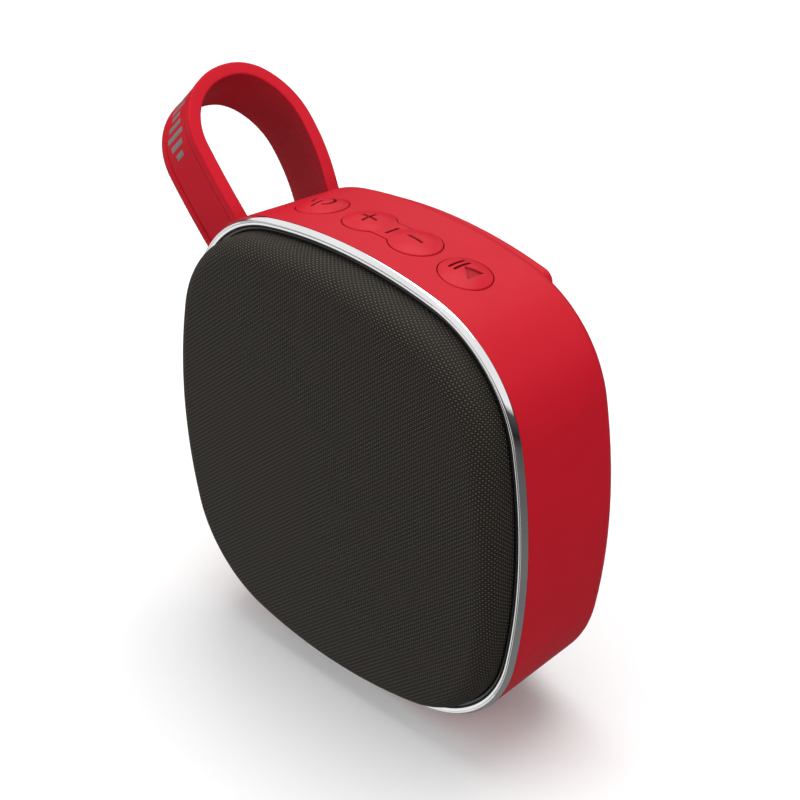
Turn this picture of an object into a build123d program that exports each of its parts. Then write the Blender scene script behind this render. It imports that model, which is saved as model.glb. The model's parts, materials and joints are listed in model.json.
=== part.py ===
from build123d import *

import os
from math import cos, radians, sin, sqrt, tan

# Palm-size portable wireless speaker with a wrist strap.
# Frame: millimetres, +Z up, the fabric front faces -Y, the keys are on top and the strap is at the
# top left seen from the front. The origin is the centre of the base foot's flat underside.
# "Depth" is measured backwards (+Y) from the front edge of the red housing.

# Driving dimensions -------------------------------------------------------------------------

half_width = 44.0  # housing, at its front edge
half_height = 45.4
side_point_x = 37.4  # where the long arcs would meet if the corners were sharp
side_point_z = 38.5
corner_radius = 26.4
shell_depth = 24.9
draft_angle = 4.3  # the housing narrows towards the back
back_fillet = 3.2
wall = 2.2

foot_drop = 0.8  # the foot stands proud of the housing's lowest point
foot_half_width = 15.0
foot_depths = (3.5, 20.5)

ring_width = 1.76  # chrome bezel
ring_rise = 1.3
lip_width = 0.7  # black lip between the bezel and the fabric
lip_rise = 1.0
dome_rise = 8.9  # fabric crown ahead of the housing's front edge
dome_radius = 546.0
dome_lift = 15.0  # the crown is highest this far above the middle
dome_edge = 4.0
fabric_thickness = 0.5

strap_width = 12.6
strap_thickness = 2.6
strap_angle = 47.0  # lean of the strap's middle plane, from +Z towards -X
strap_corner = (-35.1, 35.4)  # X and Z of the housing's corner, from its middle

key_radius = 4.85
key_gap = 0.2
key_crown = 1.1
key_travel = 0.35
key_depth = 10.1
power_arc = -18.4  # places along the housing's top, from its middle
play_arc = 18.2
rocker_lobe = 5.8
rocker_neck = 3.2

driver_radius = 26.0
driver_drop = 7.0  # the loudspeaker's axis lies below the housing's middle

back_panel_half_width = 22.9
back_panel_rise = 2.7
back_panel_sunk = 1.0

middle_z = half_height + foot_drop
front_y = -(foot_depths[0] + foot_depths[1]) / 2
back_inset = shell_depth * tan(radians(draft_angle))

os.makedirs("parts", exist_ok=True)


def save(piece, name):
    piece.part.label = name
    export_step(piece.part, f"parts/{name}.step")


# Planes -------------------------------------------------------------------------------------


def layer(depth):
    """Plane parallel to the front, facing forward; its local X and Y are +X and +Z."""
    return Plane((0, front_y + depth, middle_z), x_dir=(1, 0, 0), z_dir=(0, -1, 0))


def driver_layer(depth):
    """The same plane, centred on the loudspeaker's axis."""
    return Plane((0, front_y + depth, middle_z - driver_drop), x_dir=(1, 0, 0), z_dir=(0, -1, 0))


def arc_radius(half_chord, rise):
    """Radius of the arc with this half chord and rise."""
    return (half_chord**2 + rise**2) / (2 * rise)


top_radius = arc_radius(side_point_x, half_height - side_point_z)
side_radius = arc_radius(side_point_z, half_width - side_point_x)
top_centre = Vector(0, half_height - top_radius)
side_centre = Vector(half_width - side_radius, 0)


def meeting_point(centre_a, radius_a, centre_b, radius_b):
    """Where two circles meet, on the right of the line from a to b."""
    gap = (centre_b - centre_a).length
    along = (radius_a**2 - radius_b**2 + gap**2) / (2 * gap)
    aside = sqrt(radius_a**2 - along**2)
    ahead = (centre_b - centre_a).normalized()
    right = Vector(ahead.Y, -ahead.X)
    return centre_a + ahead * along + right * aside


corner_centre = meeting_point(
    top_centre, top_radius - corner_radius, side_centre, side_radius - corner_radius
)


def top_plane(arc, depth):
    """Plane on the housing's top, arc along it from the middle; local X right, Y back, Z outward."""
    turn = arc / top_radius
    tilt = radians(draft_angle)
    inset = depth * tan(tilt)
    x = (top_radius - inset) * sin(turn)
    z = half_height - top_radius + (top_radius - inset) * cos(turn)
    outward = (sin(turn) * cos(tilt), sin(tilt), cos(turn) * cos(tilt))
    return Plane((x, front_y + depth, middle_z + z), x_dir=(cos(turn), 0, -sin(turn)), z_dir=outward)


lean = radians(strap_angle)
strap_plane = Plane(
    (strap_corner[0], front_y, middle_z + strap_corner[1]),
    x_dir=(0, 1, 0),
    z_dir=(cos(lean), 0, sin(lean)),
)  # local X is depth, local Y rises out of the corner, the normal runs across the strap


# Shared shapes ------------------------------------------------------------------------------


def outline(inset=0.0):
    """The rounded front outline, moved inwards by inset: four long arcs and four corner arcs."""
    top = (top_radius - inset) * (corner_centre - top_centre).normalized() + top_centre
    side = (side_radius - inset) * (corner_centre - side_centre).normalized() + side_centre
    corner = corner_centre + (corner_radius - inset) * Vector(1, 1).normalized()
    with BuildSketch(Plane.XY, mode=Mode.PRIVATE) as face:
        with BuildLine():
            ThreePointArc((-top.X, top.Y), (0, half_height - inset), (top.X, top.Y))
            ThreePointArc((side.X, side.Y), (half_width - inset, 0), (side.X, -side.Y))
            ThreePointArc((-top.X, -top.Y), (0, inset - half_height), (top.X, -top.Y))
            ThreePointArc((-side.X, side.Y), (inset - half_width, 0), (-side.X, -side.Y))
            for right in (1, -1):
                for up in (1, -1):
                    start = (right * top.X, up * top.Y)
                    middle = (right * corner.X, up * corner.Y)
                    end = (right * side.X, up * side.Y)
                    ThreePointArc(start, middle, end)
        make_face()
    return face.sketch


def tapered_body(inset, rear):
    """The drafted housing body from its front edge to a depth, its sides moved inwards by inset."""
    with BuildPart(mode=Mode.PRIVATE) as body:
        with BuildSketch(layer(rear)):
            add(outline(inset + rear * tan(radians(draft_angle))))
        with BuildSketch(layer(0)):
            add(outline(inset))
        loft(ruled=True)
    return body.part


def ring(outer_inset, inner_inset, rear, front):
    """A hoop that follows the outline between two insets and two depths."""
    with BuildPart(mode=Mode.PRIVATE) as hoop:
        with BuildSketch(layer(rear)):
            add(outline(outer_inset))
            add(outline(inner_inset), mode=Mode.SUBTRACT)
        extrude(amount=rear - front)
    return hoop.part


def domed_cap(inset, rear, rise, edge):
    """A block inside the outline with a spherical crown and a rounded front edge."""
    with BuildPart(mode=Mode.PRIVATE) as cap:
        with BuildSketch(layer(rear)):
            add(outline(inset))
        extrude(amount=rear + rise + 1)
        with Locations((0, front_y - rise + dome_radius, middle_z + dome_lift)):
            Sphere(dome_radius, rotation=(90, 0, 0), mode=Mode.INTERSECT)
        crown = cap.faces().filter_by(GeomType.SPHERE)
        fillet(crown.edges(), edge)
    return cap.part


def strap_block(width, low, high, front=-8.0, rear=36.0):
    """The space round the strap's middle plane between two heights and two depths."""
    with BuildPart(mode=Mode.PRIVATE) as block:
        with BuildSketch(strap_plane.offset(-width / 2)):
            with Locations(((front + rear) / 2, (low + high) / 2)):
                Rectangle(rear - front, high - low)
        extrude(amount=width)
    return block.part


def strap_ribbon(width, thickness):
    """The whole strap: a loop seen from the side, extruded across its width."""
    with BuildPart(mode=Mode.PRIVATE) as ribbon:
        with BuildSketch(strap_plane.offset(-width / 2)):
            with BuildLine():
                leg = Line((1.35, -7.5), (1.35, -0.5))
                front_arc = TangentArc(leg @ 1, (1.9, 14.5), tangent=leg % 1)
                top_arc = TangentArc(front_arc @ 1, (17.4, 26.3), tangent=front_arc % 1)
                shoulder = TangentArc(top_arc @ 1, (22.8, 23.0), tangent=top_arc % 1)
                rear_arc = TangentArc(shoulder @ 1, (26.1, 13.1), tangent=shoulder % 1)
                rear_leg = TangentArc(rear_arc @ 1, (24.0, 1.0), tangent=rear_arc % 1)
                Line(rear_leg @ 1, rear_leg @ 1 + (rear_leg % 1) * 9.0)
            trace(line_width=thickness)
        extrude(amount=width)
    return ribbon.part


def upright_block(size_x, size_y, size_z, x, depth, z):
    """A plain block placed by its centre: X, depth, and Z from the housing's middle."""
    with BuildPart(mode=Mode.PRIVATE) as block:
        with Locations((x, front_y + depth, middle_z + z)):
            Box(size_x, size_y, size_z)
    return block.part


def rocker_outline(grow=0.0):
    """Two round lobes joined by a waist."""
    with BuildSketch(Plane.XY, mode=Mode.PRIVATE) as face:
        with Locations((-rocker_lobe, 0), (rocker_lobe, 0)):
            Circle(key_radius)
        Rectangle(2 * rocker_lobe, 2 * rocker_neck)
        waist = face.vertices().filter_by(lambda v: abs(v.X) < rocker_lobe)
        fillet(waist, 1.0)
        if grow:
            offset(amount=grow)
    return face.sketch


# Housing ------------------------------------------------------------------------------------

power_plane = top_plane(power_arc, key_depth)
rocker_plane = top_plane(0, key_depth)
play_plane = top_plane(play_arc, key_depth)

boss_places = [(36.8, 20.5), (-36.8, 20.5), (24.5, -37.5), (-24.5, -37.5)]
baffle_depths = (2.4, 4.0)
boss_radius = 2.4
screw_radius = 1.0

key_board_z = 33.0  # underside of the key board, from the middle
key_board_thickness = 1.0
key_board_screw_places = [(-12.0, 19.4), (12.0, 19.4)]  # X and depth

main_board_x = (-38.0, -26.8)
main_board_z = (-20.0, 16.0)
main_board_depths = (17.0, 18.2)
main_board_screw_places = [(-30.5, 12.5), (-30.5, -16.5)]  # X and Z

port_z = -4.0
port_depth = 14.8
port_hole = (7.0, 20.0)  # depth-wise and height
port_cover_size = (9.0, 22.5)
port_cover_thickness = 1.3
port_seat_inset = 1.5

rear_screw_places = [(16.5, 29.5), (-16.5, 29.5), (16.5, -33.0), (-16.5, -33.0)]
rear_wall = 2.6
cavity_depth = shell_depth - rear_wall


def port_prism(size, length=14.0, corner=2.0):
    """A rounded bar through the left wall, length long and centred on it."""
    middle = (-half_width, front_y + port_depth, middle_z + port_z)
    with BuildPart(mode=Mode.PRIVATE) as bar:
        with BuildSketch(Plane(middle, x_dir=(0, 1, 0), z_dir=(-1, 0, 0)).offset(-length / 2)):
            RectangleRounded(size[0], size[1], corner)
        extrude(amount=length)
    return bar.part


def back_panel_block(grow, rear, front):
    """The raised panel's outline: straight sides, top and bottom parallel to the housing's."""
    with BuildPart(mode=Mode.PRIVATE) as block:
        with BuildSketch(layer(rear)):
            add(outline(back_inset + 2.2 - grow))
            Rectangle(2 * (back_panel_half_width + grow), 2 * half_height, mode=Mode.INTERSECT)
        extrude(amount=rear - front)
    return block.part


def foot_prism(grow, top):
    """The foot's rounded outline, raised from the floor."""
    with BuildPart(mode=Mode.PRIVATE) as prism:
        with BuildSketch(Plane.XY):
            foot_length = foot_depths[1] - foot_depths[0]
            RectangleRounded(2 * (foot_half_width + grow), foot_length + 2 * grow, 3.0)
        extrude(amount=top)
    return prism.part


outer_body = tapered_body(0, shell_depth)
cavity = tapered_body(wall, cavity_depth)
seat_core = tapered_body(port_seat_inset, shell_depth)
foot_core = tapered_body(1.0, shell_depth)
port_seat = port_prism((port_cover_size[0] + 0.6, port_cover_size[1] + 0.6), corner=1.0) - seat_core
foot_seat = foot_prism(0.05, 8) - foot_core
bezel_rebate = ring(1.0, wall + 0.8, 2.5, 0)
strap_slots = strap_ribbon(strap_width + 0.1, strap_thickness + 0.1)
strap_notch = strap_block(strap_width + 0.1, -7.5, 4, front=-1, rear=1)
pin_radius = 1.0
pin_height = -5.6
pin_depths = (0.6, 21.8)


def strap_pin_rod(grow):
    """The steel rod behind the corner that both strap ends hang on."""
    start = strap_plane.from_local_coords((pin_depths[0], pin_height, 0))
    with BuildPart(mode=Mode.PRIVATE) as rod:
        with BuildSketch(Plane(start, x_dir=(1, 0, 0), z_dir=(0, 1, 0))):
            Circle(pin_radius + grow)
        extrude(amount=pin_depths[1] - pin_depths[0])
    return rod.part


with BuildPart() as main_housing:
    add(outer_body)
    fillet(main_housing.faces().sort_by(Axis.Y)[-1].edges(), back_fillet)
    add(cavity, mode=Mode.SUBTRACT)
    # Bosses for the baffle, the key board, the main board and the rear panel's screws.
    with BuildSketch(layer(cavity_depth + 0.5)):
        with Locations(*boss_places):
            Circle(boss_radius)
    extrude(amount=cavity_depth + 0.5 - baffle_depths[1])
    with BuildSketch(Plane.XY.offset(middle_z + key_board_z + key_board_thickness)):
        with Locations(*[(x, front_y + depth) for x, depth in key_board_screw_places]):
            Circle(2.0)
    extrude(amount=half_height - key_board_z - key_board_thickness - 2.6)
    with BuildSketch(layer(cavity_depth + 0.5)):
        with Locations(*main_board_screw_places):
            Circle(2.2)
    extrude(amount=cavity_depth + 0.5 - main_board_depths[1])
    with BuildSketch(layer(cavity_depth + 0.5)):
        with Locations(*rear_screw_places):
            Circle(2.4)
    extrude(amount=4.5)
    # Screw holes in the bosses.
    with BuildSketch(layer(baffle_depths[1] + 7)):
        with Locations(*boss_places):
            Circle(screw_radius)
    extrude(amount=7, mode=Mode.SUBTRACT)
    with BuildSketch(Plane.XY.offset(middle_z + key_board_z + key_board_thickness)):
        with Locations(*[(x, front_y + depth) for x, depth in key_board_screw_places]):
            Circle(0.8)
    extrude(amount=3.5, mode=Mode.SUBTRACT)
    with BuildSketch(layer(main_board_depths[1] + 3.5)):
        with Locations(*main_board_screw_places):
            Circle(0.8)
    extrude(amount=3.5, mode=Mode.SUBTRACT)
    with BuildSketch(layer(shell_depth)):
        with Locations(*rear_screw_places):
            Circle(screw_radius)
    extrude(amount=6.0, mode=Mode.SUBTRACT)
    # Bracket between the strap's two ends, which carries their pin.
    add(strap_block(7, -8, -2.0, front=8, rear=15))
    add(strap_pin_rod(0.02), mode=Mode.SUBTRACT)
    # Seats and openings.
    add(bezel_rebate, mode=Mode.SUBTRACT)
    add(strap_slots, mode=Mode.SUBTRACT)
    add(strap_notch, mode=Mode.SUBTRACT)
    add(back_panel_block(0.1, shell_depth + 1, shell_depth - back_panel_sunk), mode=Mode.SUBTRACT)
    add(port_seat, mode=Mode.SUBTRACT)
    add(port_prism(port_hole, 12.0), mode=Mode.SUBTRACT)
    add(foot_seat, mode=Mode.SUBTRACT)
    for plane in (power_plane, play_plane):
        with BuildSketch(plane.offset(-6)):
            Circle(key_radius + key_gap)
        extrude(amount=8, mode=Mode.SUBTRACT)
    with BuildSketch(rocker_plane.offset(-6)):
        add(rocker_outline(key_gap))
    extrude(amount=8, mode=Mode.SUBTRACT)
save(main_housing, "main_housing")

# Front: chrome bezel, lip, grille and its cloth -----------------------------------------------

strap_root_space = strap_block(strap_width + 0.6, -12, 4, front=0)

with BuildPart() as chrome_bezel:
    with BuildSketch(layer(0)):
        add(outline(0))
        add(outline(ring_width), mode=Mode.SUBTRACT)
    extrude(amount=ring_rise)
    chamfer(chrome_bezel.faces().sort_by(Axis.Y)[0].edges(), 0.4)
    add(ring(1.1, ring_width, 2.2, 0) - strap_root_space)
save(chrome_bezel, "chrome_bezel")

lip_outer = ring_width + 0.05
cloth_inset = lip_outer + lip_width + 0.05
flange_depths = (0.0, 1.2)

with BuildPart() as grille_trim:
    add(ring(lip_outer, lip_outer + lip_width, baffle_depths[0], -lip_rise))
    add(ring(lip_outer, cloth_inset + 2.6, flange_depths[1], flange_depths[0]))
    add(strap_root_space, mode=Mode.SUBTRACT)
save(grille_trim, "grille_trim")

cloth_outside = domed_cap(cloth_inset, flange_depths[0], dome_rise, dome_edge)
plate_inset = cloth_inset + fabric_thickness
cloth_inside = domed_cap(
    plate_inset,
    flange_depths[0],
    dome_rise - fabric_thickness,
    dome_edge - fabric_thickness,
)
plate_wall = 1.4
plate_inside = domed_cap(
    plate_inset + plate_wall,
    flange_depths[0],
    dome_rise - fabric_thickness - plate_wall,
    dome_edge - fabric_thickness - plate_wall,
)

with BuildPart() as grille_fabric:
    add(cloth_outside)
    add(cloth_inside, mode=Mode.SUBTRACT)
save(grille_fabric, "grille_fabric")

grille_hole_radius = 1.7
grille_pitch = 5.2

with BuildPart() as grille_plate:
    add(cloth_inside)
    add(plate_inside, mode=Mode.SUBTRACT)
    with BuildSketch(driver_layer(0)):
        with HexLocations(grille_pitch / 2, 9, 9):
            Circle(grille_hole_radius)
        Circle(driver_radius - 3, mode=Mode.INTERSECT)
    extrude(amount=10, mode=Mode.SUBTRACT)
save(grille_plate, "grille_plate")

# Baffle and loudspeaker -----------------------------------------------------------------------

driver_screw_places = PolarLocations(driver_radius - 1.9, 4, start_angle=45)
cone_opening = 21.2

with BuildPart() as front_baffle:
    with BuildSketch(layer(baffle_depths[1])):
        add(outline(wall + 0.7))
        with Locations(*boss_places):
            Circle(screw_radius + 0.15, mode=Mode.SUBTRACT)
    extrude(amount=baffle_depths[1] - baffle_depths[0])
    with BuildSketch(driver_layer(baffle_depths[1])):
        Circle(cone_opening + 0.2)
        with driver_screw_places:
            Circle(0.75)
    extrude(amount=4, mode=Mode.SUBTRACT)
    add(strap_block(strap_width + 1.0, -9.0, 4), mode=Mode.SUBTRACT)
save(front_baffle, "front_baffle")


def screw(plane, head_radius, head_height, shank_radius, shank_length, places):
    """Pan-head screws: heads outward from the plane, shanks into it, with a cross recess."""
    with BuildPart(mode=Mode.PRIVATE) as screws:
        with BuildSketch(plane):
            with places:
                Circle(head_radius)
        extrude(amount=head_height)
        with BuildSketch(plane.offset(-shank_length)):
            with places:
                Circle(shank_radius)
        extrude(amount=shank_length)
        with BuildSketch(plane.offset(head_height - 0.45)):
            with places:
                Rectangle(head_radius * 1.1, head_radius * 0.26)
                Rectangle(head_radius * 0.26, head_radius * 1.1)
        extrude(amount=1, mode=Mode.SUBTRACT)
    return screws.part


with BuildPart() as baffle_screws:
    add(screw(layer(baffle_depths[0]), 1.9, 1.1, screw_radius, 6.5, Locations(*boss_places)))
save(baffle_screws, "baffle_screws")

flange_front = baffle_depths[0] - 1.0

with BuildPart() as driver_basket:
    # Half section in X (radius) and Y (depth), turned about the loudspeaker's axis.
    with BuildSketch(Plane((0, front_y, middle_z - driver_drop), x_dir=(1, 0, 0), z_dir=(0, 0, 1))):
        with BuildLine():
            Polyline(
                (cone_opening - 0.4, flange_front),
                (driver_radius, flange_front),
                (driver_radius, baffle_depths[0]),
                (cone_opening, baffle_depths[0]),
                (cone_opening - 1.2, 5.5),
                (16.6, 9.4),
                (15.4, 10.4),
                (8.6, 10.4),
                (8.6, 9.6),
                (14.6, 9.6),
                (15.6, 8.6),
                (cone_opening - 2.2, 5.0),
                close=True,
            )
        make_face()
    revolve(axis=Axis((0, 0, middle_z - driver_drop), (0, 1, 0)))
    # Windows in the cone-shaped wall and screw holes in the flange.
    for turn in (0, 90, 180, 270):
        outward = (cos(radians(turn)), 0, sin(radians(turn)))
        window = Plane((0, front_y + 6.6, middle_z - driver_drop), x_dir=(0, 1, 0), z_dir=outward)
        with BuildSketch(window.offset(12)):
            Rectangle(3.2, 13)
        extrude(amount=12, mode=Mode.SUBTRACT)
    with BuildSketch(driver_layer(baffle_depths[0])):
        with driver_screw_places:
            Circle(1.15)
    extrude(amount=2, mode=Mode.SUBTRACT)
save(driver_basket, "driver_basket")

with BuildPart() as driver_screws:
    add(screw(driver_layer(flange_front), 1.7, 0.9, 0.75, 4.0, driver_screw_places))
save(driver_screws, "driver_screws")


def driver_ring(outer, inner, rear, front):
    """A flat ring round the loudspeaker's axis."""
    with BuildPart(mode=Mode.PRIVATE) as washer:
        with BuildSketch(driver_layer(rear)):
            Circle(outer)
            if inner:
                Circle(inner, mode=Mode.SUBTRACT)
        extrude(amount=rear - front)
    return washer.part


def driver_turned(points):
    """A closed section in radius and depth, turned about the loudspeaker's axis."""
    with BuildPart(mode=Mode.PRIVATE) as turned:
        with BuildSketch(Plane((0, front_y, middle_z - driver_drop), x_dir=(1, 0, 0), z_dir=(0, 0, 1))):
            with BuildLine():
                Polyline(*points, close=True)
            make_face()
        revolve(axis=Axis((0, 0, middle_z - driver_drop), (0, 1, 0)))
    return turned.part


pole_radius = 6.1
gap_radius = 7.8

with BuildPart() as driver_top_plate:
    add(driver_ring(15.4, gap_radius, 12.0, 10.4))
save(driver_top_plate, "driver_top_plate")

with BuildPart() as driver_magnet:
    add(driver_ring(16.0, 9.2, 17.0, 12.0))
    chamfer(driver_magnet.edges().filter_by(GeomType.CIRCLE), 0.3)
save(driver_magnet, "driver_magnet")

with BuildPart() as driver_yoke:
    add(driver_ring(15.4, 0, 18.6, 17.0))
    add(driver_ring(pole_radius, 0, 17.0, 10.4))
save(driver_yoke, "driver_yoke")

with BuildPart() as voice_coil:
    add(driver_ring(6.9, 6.55, 13.2, 5.6))
    add(driver_ring(7.35, 6.9, 12.9, 10.0))
save(voice_coil, "voice_coil")

cone_rim = 17.2
with BuildPart() as driver_cone:
    add(driver_turned([(6.9, 6.4), (6.9, 5.8), (cone_rim, 1.6), (cone_rim, 2.2), (7.5, 6.4)]))
save(driver_cone, "driver_cone")

cap_apex = 3.3
cap_sphere = 15.9
cap_thickness = 0.4
cap_middle = (0, front_y + cap_apex + cap_sphere, middle_z - driver_drop)

with BuildPart() as dust_cap:
    with BuildSketch(driver_layer(5.4)):
        Circle(7.6)
    extrude(amount=4)
    with Locations(cap_middle):
        Sphere(cap_sphere, rotation=(90, 0, 0), mode=Mode.INTERSECT)
        Sphere(cap_sphere - cap_thickness, rotation=(90, 0, 0), mode=Mode.SUBTRACT)
save(dust_cap, "dust_cap")

with BuildPart() as surround:
    with BuildSketch(Plane((0, front_y, middle_z - driver_drop), x_dir=(1, 0, 0), z_dir=(0, 0, 1))):
        with BuildLine():
            roll_front = ThreePointArc((17.6, flange_front), (19.2, 0.1), (20.8, flange_front - 0.5))
            Line(roll_front @ 1, (22.4, flange_front - 0.5))
            Line((22.4, flange_front - 0.5), (22.4, flange_front))
            Line((22.4, flange_front), (20.4, flange_front))
            roll_back = ThreePointArc((20.4, flange_front), (19.2, 0.6), (18.0, flange_front))
            Line(roll_back @ 1, roll_front @ 0)
        make_face()
    revolve(axis=Axis((0, 0, middle_z - driver_drop), (0, 1, 0)))
save(surround, "surround")

with BuildPart() as spider:
    waves = [(7.8 + step * 0.85, 8.9 + 0.35 * (-1) ** step) for step in range(8)]
    with BuildSketch(Plane((0, front_y, middle_z - driver_drop), x_dir=(1, 0, 0), z_dir=(0, 0, 1))):
        with BuildLine():
            back = [(x, y + 0.3) for x, y in reversed(waves)]
            Polyline(*waves, (14.4, 9.2), (14.4, 9.55), *back, close=True)
        make_face()
    revolve(axis=Axis((0, 0, middle_z - driver_drop), (0, 1, 0)))
save(spider, "spider")

with BuildPart() as driver_gasket:
    add(driver_ring(driver_radius - 0.2, 22.6, flange_front, flange_front - 0.8))
    with BuildSketch(driver_layer(flange_front)):
        with driver_screw_places:
            Circle(1.9)
    extrude(amount=2, mode=Mode.SUBTRACT)
save(driver_gasket, "driver_gasket")

# Keys and key board ---------------------------------------------------------------------------

plunger_height = 0.5
switch_height = 2.0
key_board_size = (42.0, 17.0)
key_board_middle = 13.2


board_top = middle_z + key_board_z + key_board_thickness
stem_radius = 1.5
stem_end = board_top + switch_height + plunger_height + key_travel + 0.1


def key_stem_length(plane):
    """Distance from a key's surface plane down to the level where its stem ends."""
    return (plane.origin.Z - stem_end) / plane.z_dir.Z


def round_key(plane):
    """A domed round key with a retaining flange under the wall and a stem above its switch."""
    length = key_stem_length(plane)
    crown_radius = arc_radius(key_radius, key_crown)
    with BuildPart(plane, mode=Mode.PRIVATE) as key:
        with BuildSketch(plane.offset(-3.5)):
            Circle(key_radius)
        extrude(amount=3.5 + key_crown)
        with Locations((0, 0, key_crown - crown_radius)):
            Sphere(crown_radius, mode=Mode.INTERSECT)
        with BuildSketch(plane.offset(-3.5)):
            Circle(key_radius + 0.9)
        extrude(amount=0.8)
        # The stem's end is cut level, parallel to the switch below it.
        with BuildSketch(plane.offset(-length - 0.5)):
            Circle(stem_radius)
        extrude(amount=length - 2.9)
        split(bisect_by=Plane.XY.offset(stem_end), keep=Keep.TOP)
    return key.part


with BuildPart() as power_key:
    add(round_key(power_plane))
save(power_key, "power_key")

with BuildPart() as play_key:
    add(round_key(play_plane))
save(play_key, "play_key")

crown_radius = arc_radius(key_radius, key_crown)
rocker_axis_height = -4.5
rocker_rib_radius = 0.9

with BuildPart() as rocker_crown:
    # A dome over each lobe, square to the curved top there, and a level waist between them.
    for arc in (-rocker_lobe, rocker_lobe):
        with Locations(top_plane(arc, key_depth).offset(key_crown - crown_radius)):
            Sphere(crown_radius)
    with BuildSketch(rocker_plane.offset(-5)):
        Rectangle(5.6, 2 * key_radius)
    extrude(amount=5.1)

with BuildPart() as volume_rocker:
    with BuildSketch(rocker_plane.offset(-4.2)):
        add(rocker_outline())
    extrude(amount=4.2 + key_crown)
    add(rocker_crown.part, mode=Mode.INTERSECT)
    with BuildSketch(rocker_plane.offset(-4.2)):
        add(rocker_outline(0.8))
    extrude(amount=0.8)
    with BuildSketch(rocker_plane.offset(-key_stem_length(rocker_plane) - 0.5)):
        with Locations((-rocker_lobe, 0), (rocker_lobe, 0)):
            Circle(stem_radius)
    extrude(amount=key_stem_length(rocker_plane) - 3.6)
    split(bisect_by=Plane.XY.offset(stem_end), keep=Keep.TOP)
    with Locations(rocker_plane.offset(rocker_axis_height)):
        Cylinder(rocker_rib_radius, 7, rotation=(90, 0, 0))
save(volume_rocker, "volume_rocker")

with BuildPart() as rocker_pivot:
    with BuildSketch(rocker_plane.offset(rocker_axis_height - rocker_rib_radius - 0.1)):
        Rectangle(2.4, 5.0)
    extrude(amount=-4)
    with Locations((0, front_y + key_depth, board_top - 5)):
        Box(20, 20, 10, mode=Mode.SUBTRACT)
save(rocker_pivot, "rocker_pivot")

with BuildPart() as key_board:
    with BuildSketch(Plane.XY.offset(middle_z + key_board_z)):
        with Locations((0, front_y + key_board_middle)):
            RectangleRounded(*key_board_size, 1.5)
        with Locations(*[(x, front_y + depth) for x, depth in key_board_screw_places]):
            Circle(1.1, mode=Mode.SUBTRACT)
    extrude(amount=key_board_thickness)
save(key_board, "key_board")

with BuildPart() as key_board_screws:
    underside = Plane((0, 0, middle_z + key_board_z), x_dir=(1, 0, 0), z_dir=(0, 0, -1))
    places = Locations(*[(x, -(front_y + depth)) for x, depth in key_board_screw_places])
    add(screw(underside, 1.5, 0.9, 0.8, 4.2, places))
save(key_board_screws, "key_board_screws")

switch_points = [
    power_plane.from_local_coords((0, 0, -key_stem_length(power_plane))),
    rocker_plane.from_local_coords((-rocker_lobe, 0, -key_stem_length(rocker_plane))),
    rocker_plane.from_local_coords((rocker_lobe, 0, -key_stem_length(rocker_plane))),
    play_plane.from_local_coords((0, 0, -key_stem_length(play_plane))),
]

with BuildPart() as tact_switches:
    with BuildSketch(Plane.XY.offset(board_top)):
        with Locations(*[(point.X, point.Y) for point in switch_points]):
            RectangleRounded(4.6, 4.6, 0.4)
    extrude(amount=switch_height)
    with BuildSketch(Plane.XY.offset(board_top + switch_height)):
        with Locations(*[(point.X, point.Y) for point in switch_points]):
            Circle(1.1)
    extrude(amount=plunger_height)
save(tact_switches, "tact_switches")

# Strap ----------------------------------------------------------------------------------------

whole_strap = strap_ribbon(strap_width, strap_thickness)
strap_cut_height = 0.6
strap_cut_gap = 0.4

with BuildPart() as strap:
    add(whole_strap)
    add(strap_block(strap_width + 2, strap_cut_height, 40), mode=Mode.INTERSECT)
save(strap, "strap")

with BuildPart() as strap_ends:
    add(whole_strap)
    add(strap_block(strap_width + 2, -20, strap_cut_height - strap_cut_gap), mode=Mode.INTERSECT)
    add(strap_pin_rod(0.02), mode=Mode.SUBTRACT)
save(strap_ends, "strap_ends")

with BuildPart() as strap_pin:
    add(strap_pin_rod(0))
    chamfer(strap_pin.edges().filter_by(GeomType.CIRCLE), 0.2)
save(strap_pin, "strap_pin")

# Port cover, sockets and main board -------------------------------------------------------------

flap_core = tapered_body(port_cover_thickness, shell_depth)
hinge_radius = port_cover_thickness / 2
hinge_z = port_z - port_cover_size[1] / 2 + hinge_radius
hinge_inset = hinge_radius + port_depth * tan(radians(draft_angle))
hinge_x = -side_centre.X - sqrt((side_radius - hinge_inset) ** 2 - hinge_z**2)
hinge_middle = (hinge_x, front_y + port_depth, middle_z + hinge_z)
hinge_line = (tan(radians(draft_angle)), 1, 0)

with BuildPart() as port_cover:
    add(port_prism(port_cover_size))
    add(outer_body, mode=Mode.INTERSECT)
    add(flap_core, mode=Mode.SUBTRACT)
    # The lower edge is a bead round the line that the cover bends about.
    split(bisect_by=Plane.XY.offset(middle_z + hinge_z), keep=Keep.TOP)
    bead_length = port_cover_size[0] - 2 * 1.2
    with BuildSketch(Plane(hinge_middle, z_dir=hinge_line).offset(-bead_length / 2)):
        Circle(hinge_radius)
    extrude(amount=bead_length)
save(port_cover, "port_cover")

socket_mouth = -40.5
usb_z = 1.0
usb_size = (7.3, 3.2, 8.9)
jack_z = -9.4
jack_size = (11.0, 5.0, 6.0)

with BuildPart() as usb_socket:
    usb_x = socket_mouth + usb_size[0] / 2
    usb_depth = main_board_depths[0] - usb_size[1] / 2
    add(upright_block(*usb_size, usb_x, usb_depth, usb_z))
    fillet(usb_socket.edges().filter_by(Axis.X), 1.2)
    add(upright_block(6.5, 2.5, 8.2, socket_mouth + 3.0, usb_depth, usb_z), mode=Mode.SUBTRACT)
    add(upright_block(6.6, 0.7, 6.7, usb_x, usb_depth, usb_z))
save(usb_socket, "usb_socket")

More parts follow.
